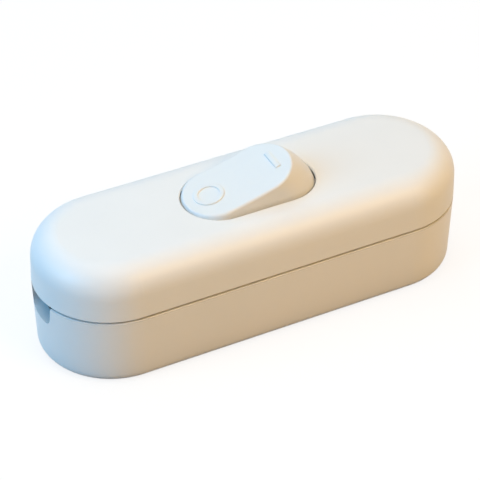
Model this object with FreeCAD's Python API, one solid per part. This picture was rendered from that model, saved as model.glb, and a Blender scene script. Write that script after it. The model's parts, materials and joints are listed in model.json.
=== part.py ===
# Inline cord switch: a two-pole rocker switch in a moulded housing of two shells, in millimetres.
# X runs along the cord, Y across it and Z up. The origin is the middle of the underside.
import FreeCAD, Part
import math
import os
from FreeCAD import Vector

# Housing
LENGTH = 73.0
WIDTH = 25.0
HEIGHT = 20.8
PARTING_Z = 12.3  # height of the joint between the shells
WALL = 1.8
ROOF = 1.8
FLOOR = 1.8
TOP_FILLET = 4.4
BOTTOM_FILLET = 1.5
INNER_CHAMFER = 1.0  # between floor and wall, inside
ROOF_CHAMFER = 1.6  # between roof and wall, inside
UPPER_DRAFT = 0.25  # how far the upper wall leans in at its top
LOWER_DRAFT = 0.3  # how far the lower wall leans in at the underside
SHADOW_GAP = 0.35  # open line between the shells' outer edges
SEAM_CHAMFER = 0.12
TONGUE_HEIGHT = 1.2
JOINT_CLEARANCE = 0.1

# Cord inlets, one in each end of the lower shell
INLET_WIDTH = 7.7  # at the joint between the shells
INLET_FLOOR_WIDTH = 6.4
INLET_DEPTH = 4.05
INLET_CORNER = 1.4

# Rocker and its opening
APERTURE_LENGTH = 22.5
APERTURE_WIDTH = 12.0
RIM_CHAMFER = 0.25  # round the top of the opening
ROCKER_GAP = 0.28  # between the rocker and the rim of its opening
PIVOT_DEPTH = 5.1  # pivot below the top face
ROCKER_CROWN = 7.35  # face above the pivot, at the middle
DISH_RADIUS = 80.0
TILT = 14.7  # degrees each way from level
SKIRT = 0.6  # rocker's lower edge below the pivot
ROCKER_WALL = 1.3
ROCKER_EDGE = 0.4
SWING_COUNT = 5  # sections that shape an end on its swing
TRUNNION_RADIUS = 1.3
TRUNNION_LENGTH = 1.7
TRUNNION_PAD_RADIUS = 2.4
BEARING_CLEARANCE = 0.05

# Bearing cheeks under the roof, and the keepers that close them from below
CHEEK_GAP = 0.3  # between rocker and cheek
CHEEK_THICKNESS = 1.6
CHEEK_LENGTH = 7.0
CHEEK_REACH = 2.5  # below the pivot
KEEPER_CLEARANCE = 0.15

# Plungers and springs in the rocker's sleeves
POLE_PITCH = 6.4
PLUNGER_RADIUS = 1.2
PLUNGER_CLEARANCE = 0.05
PLUNGER_BACK = 1.0  # plunger's back face below the pivot
TIP_CLEARANCE = 0.12  # plunger tip to contact arm, both level
SLEEVE_WALL = 0.65
SLEEVE_REACH = 3.4  # below the pivot
SLEEVE_CAP = 2.1  # rocker's face to the end of a sleeve's bore
SPRING_WIRE = 0.4
WIRE_SIDES = 6
SPRING_TURNS = 5
SPRING_SIDES = 12  # straight runs of wire in a turn
SPRING_CLEARANCE = 0.15
SPIGOT_LENGTH = 1.2

# See-saw contact arms
ARM_PIVOT_Z = 8.2
ARM_TILT = 8.0  # degrees each way from level
ARM_REACH = 7.5
ARM_WIDTH = 3.6
ARM_THICKNESS = 0.8
ARM_CORNER = 1.0
ARM_BEND = 2.0  # inside radius of the bend over the pivot
ARM_SEAT = 0.2  # underside above the pivot axis, at the bend
ARM_STOP_CLEARANCE = 0.15

# Contact tips, welded on
TIP_INSET = 1.2  # tip's middle from the arm's end
TIP_RADIUS = 1.2
TIP_HEIGHT = 0.5
TIP_TOUCH = 0.15  # between the tips when the switch is closed

# Brass strips on the floor's rails
STRIP_THICKNESS = 0.7
STRIP_WIDTH = 2.6
STRIP_BEND = 0.4  # inside radius
STRIP_TAIL = 0.3  # strip beyond its terminal block
RAIL_HEIGHT = 1.2
PRONG_WIDTH = 0.6
PRONG_RISE = 1.5
PRONG_CLEARANCE = 0.15
HEAD_HEIGHT = 2.2  # wide part of the post below the pivot
RISER_GAP = 0.8  # between a strip's riser and its neighbours

# Terminal blocks and screws
BLOCK_LENGTH = 5.5
BLOCK_WIDTH = 4.6
BLOCK_HEIGHT = 5.5
WIRE_HOLE_RADIUS = 1.3
WIRE_HOLE_DEPTH = 4.4
WIRE_HOLE_FLOOR = 0.9  # block under the wire hole
TERMINAL_SCREW_RADIUS = 1.15
TERMINAL_SCREW_RISE = 0.8  # above the block
SCREW_CLEARANCE = 0.05

# Walls between and beside the poles
BARRIER_THICKNESS = 1.0
BARRIER_RISE = 1.2  # above the terminal blocks
RIB_THICKNESS = 1.2
RIB_CLEARANCE = 0.3
RIB_DROP = 0.7  # below the top of the terminal blocks
STOP_LENGTH = 1.2
STOP_OVERLAP = 0.5  # arm's edge carried by the stop

# Housing screws, from the underside
HOUSING_SCREW_RADIUS = 1.4
HOUSING_HEAD_RADIUS = 2.6
HOUSING_HEAD_HEIGHT = 1.9
HEAD_SINK = 0.5  # head below the underside's plane
HEAD_CLEARANCE = 0.3
HOUSING_SCREW_GRIP = 4.8  # thread in the upper shell's boss
HEAD_WALL = 1.1  # round the recess of a head
PILLAR_GAP = 0.8  # between a terminal block's strip and a pillar
BOSS_WALL = 1.2  # round the thread in the upper shell

# Cord clamps
CLAMP_INSET = 8.8  # clamp's middle from the end of the housing
CLAMP_BAR_LENGTH = 15.0
CLAMP_BAR_WIDTH = 4.4
CLAMP_BAR_THICKNESS = 2.0
CLAMP_RISE = 0.2  # seat of the bar above the joint
CLAMP_PITCH = 11.4
RIDGE_RADIUS = 1.0
RIDGE_GAP = 0.2  # between the ridge and the screw heads
CLAMP_SCREW_RADIUS = 1.1
CLAMP_HEAD_RADIUS = 2.0
CLAMP_HEAD_HEIGHT = 1.4
CLAMP_SCREW_GRIP = 6.0
CLAMP_POST_WALL = 0.9
BAR_HOLE_CLEARANCE = 0.2
CHANNEL_CLEARANCE = 0.4  # wider than the inlet's floor, each side
CHANNEL_DEPTH = 5.2  # of the cord's channel below the bar

# Recesses of the screw heads, and the spare length of every cutting tool
SLOT_WIDTH = 0.6
SLOT_SHARE = 0.5  # of the head's height
OVERRUN = 1.0

# Worked out from the sizes above
END_RADIUS = WIDTH / 2
HALF_SPINE = LENGTH / 2 - END_RADIUS
PIVOT_Z = HEIGHT - PIVOT_DEPTH
PIVOT = Vector(0, 0, PIVOT_Z)
ROCKER_HALF_WIDTH = APERTURE_WIDTH / 2 - ROCKER_GAP
ROCKER_REACH = math.hypot(APERTURE_LENGTH / 2 - ROCKER_GAP, PIVOT_DEPTH)
APERTURE_REACH = math.hypot(APERTURE_LENGTH / 2, PIVOT_DEPTH)
CHEEK_Y = ROCKER_HALF_WIDTH + CHEEK_GAP
BEARING_RADIUS = TRUNNION_RADIUS + BEARING_CLEARANCE
POLES = {"line": -POLE_PITCH / 2, "neutral": POLE_PITCH / 2}
SLEEVE_BORE = PLUNGER_RADIUS + PLUNGER_CLEARANCE
BORE_END = ROCKER_CROWN - SLEEVE_CAP
TIP_REACH = ARM_REACH - TIP_INSET
ARM_TOP = ARM_SEAT + ARM_THICKNESS / math.cos(math.radians(ARM_TILT))
PLUNGER_TIP = PIVOT_Z - ARM_PIVOT_Z - ARM_TOP - TIP_CLEARANCE
STRIP_Z = FLOOR + RAIL_HEIGHT
FIXED_STRIP_Z = ARM_PIVOT_Z + ARM_SEAT - 2 * TIP_HEIGHT - TIP_TOUCH
RISER_X = ARM_REACH + RISER_GAP
BLOCK_X = RISER_X + STRIP_THICKNESS + RISER_GAP
BLOCK_Z = STRIP_Z + STRIP_THICKNESS
BLOCK_TOP = BLOCK_Z + BLOCK_HEIGHT
STRIP_END = BLOCK_X + BLOCK_LENGTH + STRIP_TAIL
RIB_Y = POLE_PITCH / 2 + BLOCK_WIDTH / 2 + RIB_CLEARANCE
HEAD_RECESS = HOUSING_HEAD_HEIGHT + HEAD_SINK
BOSS_RADIUS = HOUSING_SCREW_RADIUS + SCREW_CLEARANCE + BOSS_WALL
SCREW_X = STRIP_END + PILLAR_GAP + BOSS_RADIUS
CLAMP_X = LENGTH / 2 - CLAMP_INSET
CLAMP_Z = PARTING_Z + CLAMP_RISE
CLAMP_POST = CLAMP_SCREW_RADIUS + SCREW_CLEARANCE + CLAMP_POST_WALL


def box(x_range, y_range, z_range):
    """Block between the two ends of each range."""
    corner = Vector(x_range[0], y_range[0], z_range[0])
    return Part.makeBox(
        x_range[1] - x_range[0], y_range[1] - y_range[0], z_range[1] - z_range[0], corner
    )


def rod(radius, start, end):
    """Cylinder from one point to another."""
    run = end - start
    return Part.makeCylinder(radius, run.Length, start, run)


def upright(radius, x, y, low, high):
    """Vertical cylinder at x, y between two heights."""
    return rod(radius, Vector(x, y, low), Vector(x, y, high))


def cross_rod(radius, x, z, near, far):
    """Cylinder along Y at x, z."""
    return rod(radius, Vector(x, near, z), Vector(x, far, z))


def rounded_wire(corners):
    """Closed wire through the corners, each a point and the radius that rounds it."""
    edges = []
    joins = []
    count = len(corners)
    for index, (corner, radius) in enumerate(corners):
        back = (corners[index - 1][0] - corner).normalize()
        ahead = (corners[(index + 1) % count][0] - corner).normalize()
        half = back.getAngle(ahead) / 2
        trim = radius / math.tan(half)
        joins.append((corner + back * trim, corner + ahead * trim))
        if radius > 0:
            inward = (back + ahead).normalize()
            middle = corner + inward * (radius / math.sin(half) - radius)
            edges.append(Part.Arc(joins[-1][0], middle, joins[-1][1]).toShape())
    for index in range(count):
        edges.append(Part.LineSegment(joins[index - 1][1], joins[index][0]).toShape())
    return Part.Wire(Part.__sortEdges__(edges))


def side_profile(corners):
    """Face in the XZ plane from x, z and corner radius."""
    return Part.Face(rounded_wire([(Vector(x, 0, z), radius) for x, z, radius in corners]))


def thick_profile(corners, y, width):
    """Profile in x, z and corner radius, made a solid of a width centred on y."""
    face = side_profile(corners)
    face.translate(Vector(0, y - width / 2, 0))
    return face.extrude(Vector(0, width, 0))


def stadium_wire(half_length, half_width, z):
    """Horizontal outline of two straight sides and two half-round ends."""
    straight = half_length - half_width
    near_left = Vector(-straight, -half_width, z)
    near_right = Vector(straight, -half_width, z)
    far_right = Vector(straight, half_width, z)
    far_left = Vector(-straight, half_width, z)
    return Part.Wire(
        [
            Part.LineSegment(near_left, near_right).toShape(),
            Part.Arc(near_right, Vector(half_length, 0, z), far_right).toShape(),
            Part.LineSegment(far_right, far_left).toShape(),
            Part.Arc(far_left, Vector(-half_length, 0, z), near_left).toShape(),
        ]
    )


def stadium_solid(corners):
    """Wall section, in distance from the long axis, height and corner radius, taken right round."""
    section = Part.Face(rounded_wire([(Vector(0, out, z), radius) for out, z, radius in corners]))
    near = section.copy()
    near.translate(Vector(-HALF_SPINE, 0, 0))
    side = near.extrude(Vector(2 * HALF_SPINE, 0, 0))
    end_axis = Vector(HALF_SPINE, 0, 0)
    section.translate(end_axis)
    end = section.revolve(end_axis, Vector(0, 0, 1), -180)
    return side.multiFuse(
        [
            side.mirror(Vector(), Vector(0, 1, 0)),
            end,
            end.mirror(Vector(), Vector(1, 0, 0)),
        ]
    ).removeSplitter()


def swing_block(reach, half_width, low, high, count):
    """Solid between two heights above the pivot, with ends that follow the rocker's swing."""
    sections = []
    for step in range(count):
        rise = low + (high - low) * step / (count - 1)
        sections.append(stadium_wire(math.sqrt(reach**2 - rise**2), half_width, PIVOT_Z + rise))
    return Part.makeLoft(sections, True, False)


def rest_rocker(shape):
    """Turn from level to the rest position, with the end at +X raised."""
    return shape.rotated(PIVOT, Vector(0, 1, 0), -TILT)


def rest_arm(shape, y):
    """Turn a level contact arm to its rest position, with the end at +X down."""
    return shape.rotated(Vector(0, y, ARM_PIVOT_Z), Vector(0, 1, 0), ARM_TILT)


def upper_shell():
    """Cover with the rocker's opening, the bearing cheeks and the screw bosses."""
    step = END_RADIUS - WALL / 2
    rebate = PARTING_Z + TONGUE_HEIGHT + JOINT_CLEARANCE
    lip = PARTING_Z + SHADOW_GAP / 2
    inner = END_RADIUS - UPPER_DRAFT - WALL
    shell = stadium_solid(
        [
            (0, HEIGHT - ROOF, 0),
            (inner - ROOF_CHAMFER, HEIGHT - ROOF, 0),
            (inner, HEIGHT - ROOF - ROOF_CHAMFER, 0),
            (inner, rebate, 0),
            (step, rebate, 0),
            (step, lip, 0),
            (END_RADIUS - SEAM_CHAMFER, lip, 0),
            (END_RADIUS, lip + SEAM_CHAMFER, 0),
            (END_RADIUS - UPPER_DRAFT, HEIGHT, TOP_FILLET),
            (0, HEIGHT, 0),
        ]
    )
    low = PIVOT_DEPTH - ROOF - OVERRUN
    high = PIVOT_DEPTH + OVERRUN
    shell = shell.cut(swing_block(APERTURE_REACH, APERTURE_WIDTH / 2, low, high, SWING_COUNT))
    rim = [edge for edge in shell.Edges if on_rim(edge)]
    shell = shell.makeChamfer(RIM_CHAMFER, rim)
    added = [bearing_cheek(-1), bearing_cheek(1), screw_boss(-SCREW_X), screw_boss(SCREW_X)]
    return shell.multiFuse(added).removeSplitter()


def on_rim(edge):
    """Whether an edge bounds the rocker's opening in the top face."""
    bounds = edge.BoundBox
    level = abs(bounds.ZMin - HEIGHT) + abs(bounds.ZMax - HEIGHT) < OVERRUN
    inside = max(-bounds.XMin, bounds.XMax) < APERTURE_LENGTH / 2 + OVERRUN
    return level and inside and max(-bounds.YMin, bounds.YMax) < APERTURE_WIDTH / 2 + OVERRUN


def bearing_cheek(side):
    """Plate beside the rocker with the slot that takes a trunnion from below."""
    reach = sorted((side * CHEEK_Y, side * (CHEEK_Y + CHEEK_THICKNESS)))
    half = CHEEK_LENGTH / 2
    bottom = PIVOT_Z - CHEEK_REACH
    plate = box((-half, half), reach, (bottom, HEIGHT - ROOF / 2))
    slot = box((-BEARING_RADIUS, BEARING_RADIUS), reach, (bottom - OVERRUN, PIVOT_Z))
    return plate.cut(slot).cut(cross_rod(BEARING_RADIUS, 0, PIVOT_Z, reach[0], reach[1]))


def screw_boss(x):
    """Blind boss under the roof that a housing screw threads into."""
    boss = upright(BOSS_RADIUS, x, 0, PARTING_Z, HEIGHT - ROOF / 2)
    pilot = HOUSING_SCREW_RADIUS + SCREW_CLEARANCE
    depth = HOUSING_SCREW_GRIP + OVERRUN / 2
    return boss.cut(upright(pilot, x, 0, PARTING_Z - OVERRUN, PARTING_Z + depth))


def lower_shell():
    """Base with the cord inlets, the carriers of the contacts, the pillars and the clamp bosses."""
    step = END_RADIUS - WALL / 2 - JOINT_CLEARANCE
    lip = PARTING_Z - SHADOW_GAP / 2
    tongue = PARTING_Z + TONGUE_HEIGHT
    inner = END_RADIUS - LOWER_DRAFT - WALL
    shell = stadium_solid(
        [
            (0, 0, 0),
            (END_RADIUS - LOWER_DRAFT, 0, BOTTOM_FILLET),
            (END_RADIUS, lip - SEAM_CHAMFER, 0),
            (END_RADIUS - SEAM_CHAMFER, lip, 0),
            (step, lip, 0),
            (step, tongue, 0),
            (inner, tongue, 0),
            (inner, FLOOR + INNER_CHAMFER, 0),
            (inner - INNER_CHAMFER, FLOOR, 0),
            (0, FLOOR, 0),
        ]
    )
    added = [barrier()]
    for side in (-1, 1):
        added += [contact_rail(side), side_rib(side), keeper(side), arm_stop(side)]
        added += [screw_pillar(side * SCREW_X), cord_saddle(side * CLAMP_X)]
    shell = shell.multiFuse(added)
    holes = []
    for side in (-1, 1):
        holes += [cord_inlet(side), screw_hole(side * SCREW_X)]
        holes += [clamp_hole(side * CLAMP_X, -1), clamp_hole(side * CLAMP_X, 1)]
    return shell.cut(holes).removeSplitter()


def barrier():
    """Wall between the two poles."""
    half = BARRIER_THICKNESS / 2
    return box((-STRIP_END, STRIP_END), (-half, half), (FLOOR / 2, BLOCK_TOP + BARRIER_RISE))


def contact_rail(side):
    """Rail on the floor that the brass strips of one pole lie on."""
    middle = side * POLE_PITCH / 2
    half = STRIP_WIDTH / 2
    return box((-STRIP_END, STRIP_END), (middle - half, middle + half), (FLOOR / 2, STRIP_Z))


def side_rib(side):
    """Wall beside the terminal blocks of one pole."""
    reach = sorted((side * RIB_Y, side * (RIB_Y + RIB_THICKNESS)))
    return box((-STRIP_END, STRIP_END), reach, (FLOOR / 2, BLOCK_TOP - RIB_DROP))


def keeper(side):
    """Post that stands in a cheek's slot and keeps the trunnion up."""
    near = CHEEK_Y + KEEPER_CLEARANCE
    far = CHEEK_Y + CHEEK_THICKNESS - KEEPER_CLEARANCE
    half = BEARING_RADIUS - KEEPER_CLEARANCE
    top = PIVOT_Z - BEARING_RADIUS
    return box((-half, half), sorted((side * near, side * far)), (FLOOR / 2, top))


def arm_stop(side):
    """Block that the open arm's outer edge comes down on."""
    near = POLE_PITCH / 2 + ARM_WIDTH / 2 - STOP_OVERLAP
    far = RIB_Y + RIB_THICKNESS / 2
    top = ARM_PIVOT_Z + ARM_SEAT * math.cos(math.radians(ARM_TILT)) - ARM_STOP_CLEARANCE
    start = ARM_REACH - ARM_CORNER - STOP_LENGTH
    return box((start, start + STOP_LENGTH), sorted((side * near, side * far)), (FLOOR / 2, top))


def screw_pillar(x):
    """Pillar round a housing screw, which the upper shell's boss stands on, with a wide foot."""
    foot = HOUSING_HEAD_RADIUS + HEAD_CLEARANCE + HEAD_WALL
    pillar = upright(BOSS_RADIUS, x, 0, FLOOR / 2, PARTING_Z)
    return pillar.fuse(upright(foot, x, 0, FLOOR / 2, STRIP_Z))


def screw_hole(x):
    """Clearance hole and head recess of a housing screw."""
    shank = upright(HOUSING_SCREW_RADIUS + HEAD_CLEARANCE, x, 0, -OVERRUN, PARTING_Z + OVERRUN)
    return shank.fuse(upright(HOUSING_HEAD_RADIUS + HEAD_CLEARANCE, x, 0, -OVERRUN, HEAD_RECESS))


def cord_saddle(x):
    """Block that carries a clamp bar on two posts, with the cord's channel between them."""
    reach = CLAMP_PITCH / 2 + CLAMP_POST
    channel = INLET_FLOOR_WIDTH / 2 + CHANNEL_CLEARANCE
    length = (x - CLAMP_POST, x + CLAMP_POST)
    block = box(length, (-reach, reach), (FLOOR / 2, CLAMP_Z))
    return block.cut(box(length, (-channel, channel), (CLAMP_Z - CHANNEL_DEPTH, CLAMP_Z)))


def clamp_hole(x, side):
    """Thread hole of a clamp screw."""
    bottom = CLAMP_Z - CLAMP_SCREW_GRIP - OVERRUN / 2
    radius = CLAMP_SCREW_RADIUS + SCREW_CLEARANCE
    return upright(radius, x, side * CLAMP_PITCH / 2, bottom, CLAMP_Z + OVERRUN)


def cord_inlet(side):
    """Opening that the cord comes in by, narrower and rounded at its floor."""
    floor_half = INLET_FLOOR_WIDTH / 2
    top_half = INLET_WIDTH / 2
    floor_z = PARTING_Z - INLET_DEPTH
    top = PARTING_Z + TONGUE_HEIGHT + OVERRUN
    inner = side * (LENGTH / 2 - LOWER_DRAFT - WALL - OVERRUN)
    outline = rounded_wire(
        [
            (Vector(inner, -floor_half, floor_z), INLET_CORNER),
            (Vector(inner, floor_half, floor_z), INLET_CORNER),
            (Vector(inner, top_half, PARTING_Z), 0),
            (Vector(inner, top_half, top), 0),
            (Vector(inner, -top_half, top), 0),
            (Vector(inner, -top_half, PARTING_Z), 0),
        ]
    )
    return Part.Face(outline).extrude(Vector(side * (WALL + LOWER_DRAFT + 2 * OVERRUN), 0, 0))


def rocker_form(inset, low, count):
    """Rocker's outer form, level, or its hollow when inset, from a height above the pivot."""
    high = ROCKER_CROWN + OVERRUN
    form = swing_block(ROCKER_REACH - inset, ROCKER_HALF_WIDTH - inset, low, high, count)
    dish_z = PIVOT_Z + ROCKER_CROWN + DISH_RADIUS
    return form.cut(cross_rod(DISH_RADIUS + inset, 0, dish_z, -WIDTH, WIDTH))


def rocker():
    """Hollow rocker with a dished face, ends on its swing, trunnions and two plunger sleeves."""
    form = rocker_form(0, -SKIRT, SWING_COUNT)
    brim = [edge for edge in form.Edges if edge.BoundBox.ZMin > PIVOT_Z + ROCKER_CROWN - OVERRUN]
    body = form.makeFillet(ROCKER_EDGE, brim).cut(rocker_form(ROCKER_WALL, -SKIRT - OVERRUN, 2))
    inner = ROCKER_HALF_WIDTH - ROCKER_WALL
    bores = []
    for side in (-1, 1):
        y = side * POLE_PITCH / 2
        pin_end = ROCKER_HALF_WIDTH + TRUNNION_LENGTH
        body = body.fuse(cross_rod(TRUNNION_PAD_RADIUS, 0, PIVOT_Z, side * inner, side * ROCKER_HALF_WIDTH))
        body = body.fuse(cross_rod(TRUNNION_RADIUS, 0, PIVOT_Z, side * inner, side * pin_end))
        sleeve_top = PIVOT_Z + ROCKER_CROWN - ROCKER_WALL / 2
        bottom = PIVOT_Z - SLEEVE_REACH
        body = body.fuse(upright(SLEEVE_BORE + SLEEVE_WALL, 0, y, bottom, sleeve_top))
        bores.append(upright(SLEEVE_BORE, 0, y, bottom - OVERRUN, PIVOT_Z + BORE_END))
    return rest_rocker(body.cut(bores).removeSplitter())


def plunger(y):
    """Round-nosed plunger with a spigot for its spring."""
    ball_z = PIVOT_Z - PLUNGER_TIP + PLUNGER_RADIUS
    back_z = PIVOT_Z - PLUNGER_BACK
    spigot = SLEEVE_BORE - 2 * SPRING_CLEARANCE - SPRING_WIRE - PLUNGER_CLEARANCE
    body = upright(PLUNGER_RADIUS, 0, y, ball_z, back_z)
    body = body.fuse(Part.makeSphere(PLUNGER_RADIUS, Vector(0, y, ball_z)))
    body = body.fuse(upright(spigot, 0, y, back_z, back_z + SPIGOT_LENGTH))
    return rest_rocker(body.removeSplitter())


def plunger_spring(y):
    """Coil spring between a plunger's back and the end of its sleeve."""
    half_wire = SPRING_WIRE / 2
    mean = SLEEVE_BORE - SPRING_CLEARANCE - half_wire
    low = PIVOT_Z - PLUNGER_BACK + half_wire
    rise = PIVOT_Z + BORE_END - half_wire - low
    count = SPRING_TURNS * SPRING_SIDES
    path = []
    for step in range(count + 1):
        turn = 2 * math.pi * step / SPRING_SIDES
        path.append(Vector(mean * math.cos(turn), y + mean * math.sin(turn), low + rise * step / count))
    wire = []
    for step in range(WIRE_SIDES + 1):
        turn = 2 * math.pi * step / WIRE_SIDES
        wire.append(path[0] + Vector(half_wire * math.cos(turn), 0, half_wire * math.sin(turn)))
    coil = Part.makePolygon(path).makePipeShell([Part.makePolygon(wire)], True, False, 1)
    return rest_rocker(coil)


def moving_tip(y):
    """Contact tip under the arm's end at -X."""
    seat = ARM_PIVOT_Z + ARM_SEAT * math.cos(math.radians(ARM_TILT))
    tip = upright(TIP_RADIUS, -TIP_REACH, y, seat - TIP_HEIGHT, seat)
    return rest_arm(tip.rotated(Vector(0, y, ARM_PIVOT_Z), Vector(0, 1, 0), ARM_TILT), y)


def contact_arm(y):
    """See-saw arm with two wings bent up, a groove over the pivot and notches for the prongs."""
    slope = math.radians(ARM_TILT)
    out = ARM_REACH * math.cos(slope)
    up = ARM_REACH * math.sin(slope)
    edge_in = ARM_THICKNESS * math.sin(slope)
    edge_up = ARM_THICKNESS * math.cos(slope)
    low = ARM_PIVOT_Z + ARM_SEAT
    wings = thick_profile(
        [
            (0, low, ARM_BEND + ARM_THICKNESS),
            (out, low + up, 0),
            (out - edge_in, low + up + edge_up, 0),
            (0, ARM_PIVOT_Z + ARM_TOP, ARM_BEND),
            (edge_in - out, low + up + edge_up, 0),
            (-out, low + up, 0),
        ],
        y,
        ARM_WIDTH,
    )
    half = ARM_WIDTH / 2
    plan = rounded_wire(
        [
            (Vector(-out, y - half, FLOOR), ARM_CORNER),
            (Vector(out, y - half, FLOOR), ARM_CORNER),
            (Vector(out, y + half, FLOOR), ARM_CORNER),
            (Vector(-out, y + half, FLOOR), ARM_CORNER),
        ]
    )
    arm = wings.common(Part.Face(plan).extrude(Vector(0, 0, HEIGHT)))
    groove = STRIP_THICKNESS / 2 + BEARING_CLEARANCE
    arm = arm.cut(cross_rod(groove, 0, ARM_PIVOT_Z, y - half, y + half))
    notch = STRIP_THICKNESS / 2 + PRONG_RISE * math.sin(slope) + PRONG_CLEARANCE
    for side in (-1, 1):
        reach = sorted((y + side * (half - PRONG_WIDTH - PRONG_CLEARANCE), y + side * (half + OVERRUN)))
        arm = arm.cut(box((-notch, notch), reach, (FLOOR, HEIGHT)))
    return rest_arm(arm, y)


def pivot_strip(y):
    """Strip from a terminal block to the post that the contact arm rocks on."""
    half = STRIP_THICKNESS / 2
    bend = STRIP_BEND + STRIP_THICKNESS
    strip = thick_profile(
        [
            (-half, STRIP_Z, bend),
            (STRIP_END, STRIP_Z, 0),
            (STRIP_END, BLOCK_Z, 0),
            (half, BLOCK_Z, STRIP_BEND),
            (half, ARM_PIVOT_Z, 0),
            (-half, ARM_PIVOT_Z, 0),
        ],
        y,
        STRIP_WIDTH,
    )
    outer = ARM_WIDTH / 2
    inner = outer - PRONG_WIDTH
    neck = ARM_PIVOT_Z - HEAD_HEIGHT
    head = box((-half, half), (y - outer, y + outer), (neck, ARM_PIVOT_Z))
    pieces = [head, cross_rod(half, 0, ARM_PIVOT_Z, y - outer, y + outer)]
    for side in (-1, 1):
        reach = sorted((y + side * inner, y + side * outer))
        pieces.append(box((-half, half), reach, (neck, ARM_PIVOT_Z + PRONG_RISE)))
    return strip.multiFuse(pieces).removeSplitter()


def fixed_strip(y):
    """Strip from a terminal block up to the shelf that carries the fixed contact tip."""
    near = -RISER_X
    far = -RISER_X - STRIP_THICKNESS
    under = FIXED_STRIP_Z - STRIP_THICKNESS
    bend = STRIP_BEND + STRIP_THICKNESS
    end = TIP_RADIUS - TIP_REACH
    return thick_profile(
        [
            (-STRIP_END, STRIP_Z, 0),
            (near, STRIP_Z, bend),
            (near, under, STRIP_BEND),
            (end, under, 0),
            (end, FIXED_STRIP_Z, 0),
            (far, FIXED_STRIP_Z, bend),
            (far, BLOCK_Z, STRIP_BEND),
            (-STRIP_END, BLOCK_Z, 0),
        ],
        y,
        STRIP_WIDTH,
    )


def fixed_tip(y):
    """Contact tip on the shelf of a fixed strip."""
    return upright(TIP_RADIUS, -TIP_REACH, y, FIXED_STRIP_Z, FIXED_STRIP_Z + TIP_HEIGHT)


def terminal_block(side, y):
    """Drilled brass block: a wire hole from its outer face and a screw hole from its top."""
    inner = side * BLOCK_X
    outer = side * (BLOCK_X + BLOCK_LENGTH)
    half = BLOCK_WIDTH / 2
    block = box(sorted((inner, outer)), (y - half, y + half), (BLOCK_Z, BLOCK_TOP))
    wire_z = BLOCK_Z + WIRE_HOLE_FLOOR + WIRE_HOLE_RADIUS
    start = Vector(outer + side * OVERRUN, y, wire_z)
    wire_hole = rod(WIRE_HOLE_RADIUS, start, Vector(outer - side * WIRE_HOLE_DEPTH, y, wire_z))
    middle = (inner + outer) / 2
    screw_hole_radius = TERMINAL_SCREW_RADIUS + SCREW_CLEARANCE
    return block.cut([wire_hole, upright(screw_hole_radius, middle, y, wire_z, BLOCK_TOP + OVERRUN)])


def screw(radius, length, head_radius, head_height):
    """Cross-recessed screw with its head's seat at the origin and its shank down."""
    head = upright(head_radius, 0, 0, 0, head_height)
    body = head.fuse(upright(radius, 0, 0, -length, 0)).removeSplitter()
    half = SLOT_WIDTH / 2
    reach = head_radius - SLOT_WIDTH
    depth = (head_height * (1 - SLOT_SHARE), head_height + OVERRUN)
    slots = [box((-reach, reach), (-half, half), depth), box((-half, half), (-reach, reach), depth)]
    return body.cut(slots)


def terminal_screws():
    """Headless slotted screws of the four terminal blocks."""
    middle = BLOCK_X + BLOCK_LENGTH / 2
    bottom = BLOCK_Z + WIRE_HOLE_FLOOR + WIRE_HOLE_RADIUS
    top = BLOCK_TOP + TERMINAL_SCREW_RISE
    reach = TERMINAL_SCREW_RADIUS + OVERRUN
    half = SLOT_WIDTH / 2
    screws = []
    for x in (-middle, middle):
        for y in POLES.values():
            slot = box((x - reach, x + reach), (y - half, y + half), (top - SLOT_WIDTH, top + OVERRUN))
            screws.append(upright(TERMINAL_SCREW_RADIUS, x, y, bottom, top).cut(slot))
    return Part.makeCompound(screws)


def clamp_screws():
    """Cross-recessed screws of the two cord clamps."""
    length = CLAMP_BAR_THICKNESS + CLAMP_SCREW_GRIP
    model = screw(CLAMP_SCREW_RADIUS, length, CLAMP_HEAD_RADIUS, CLAMP_HEAD_HEIGHT)
    seat = CLAMP_Z + CLAMP_BAR_THICKNESS
    half = CLAMP_PITCH / 2
    places = [Vector(x, y, seat) for x in (-CLAMP_X, CLAMP_X) for y in (-half, half)]
    return Part.makeCompound([model.translated(place) for place in places])


def housing_screws():
    """Cross-recessed screws that hold the shells together."""
    length = PARTING_Z - HEAD_RECESS + HOUSING_SCREW_GRIP
    model = screw(HOUSING_SCREW_RADIUS, length, HOUSING_HEAD_RADIUS, HOUSING_HEAD_HEIGHT)
    model = model.rotated(Vector(), Vector(1, 0, 0), 180)
    places = [Vector(x, 0, HEAD_RECESS) for x in (-SCREW_X, SCREW_X)]
    return Part.makeCompound([model.translated(place) for place in places])


def cord_clamp(x):
    """Reversible clamp bar, plain side down, with the ridge for thin cords on its upper side."""
    top = CLAMP_Z + CLAMP_BAR_THICKNESS
    plan = stadium_wire(CLAMP_BAR_LENGTH / 2, CLAMP_BAR_WIDTH / 2, 0)
    bar = Part.Face(plan).extrude(Vector(0, 0, CLAMP_BAR_THICKNESS))
    bar = bar.rotated(Vector(), Vector(0, 0, 1), 90).translated(Vector(x, 0, CLAMP_Z))
    reach = CLAMP_PITCH / 2 - CLAMP_HEAD_RADIUS - RIDGE_GAP
    bar = bar.fuse(cross_rod(RIDGE_RADIUS, x, top, -reach, reach)).removeSplitter()
    hole = CLAMP_SCREW_RADIUS + BAR_HOLE_CLEARANCE
    ends = [y * CLAMP_PITCH / 2 for y in (-1, 1)]
    return bar.cut([upright(hole, x, y, CLAMP_Z - OVERRUN, top + OVERRUN) for y in ends])


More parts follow.
